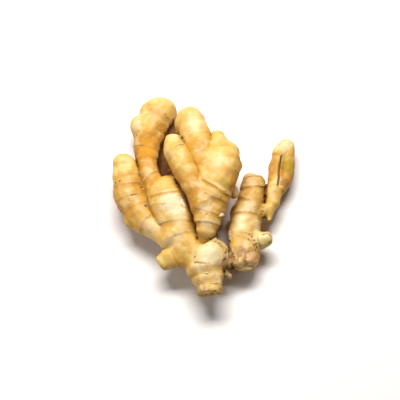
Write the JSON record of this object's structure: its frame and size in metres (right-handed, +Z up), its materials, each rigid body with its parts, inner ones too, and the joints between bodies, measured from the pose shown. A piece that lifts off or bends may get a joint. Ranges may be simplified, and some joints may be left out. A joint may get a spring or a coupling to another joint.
{
  "type": "ginger root",
  "caption": "Fresh ginger rhizome: a hand of plump ringed fingers with round tips, small knobs, a broken stub and a torn side, lying on its flatter side.",
  "frame": {"origin": "middle of the bounding box in X and Y, at the level of the three low spots it rests on", "axes": "+Z up; +Y along the hand, from the broken stub to the tall finger's round head; +X to the right, seen from above with +Y away"},
  "size_m": [0.1308, 0.1498, 0.0476],
  "materials": {
    "skin": "thin papery skin, satin"
  },
  "bodies": {
    "root": {"ginger_root": "skin"}
  },
  "joints": []
}
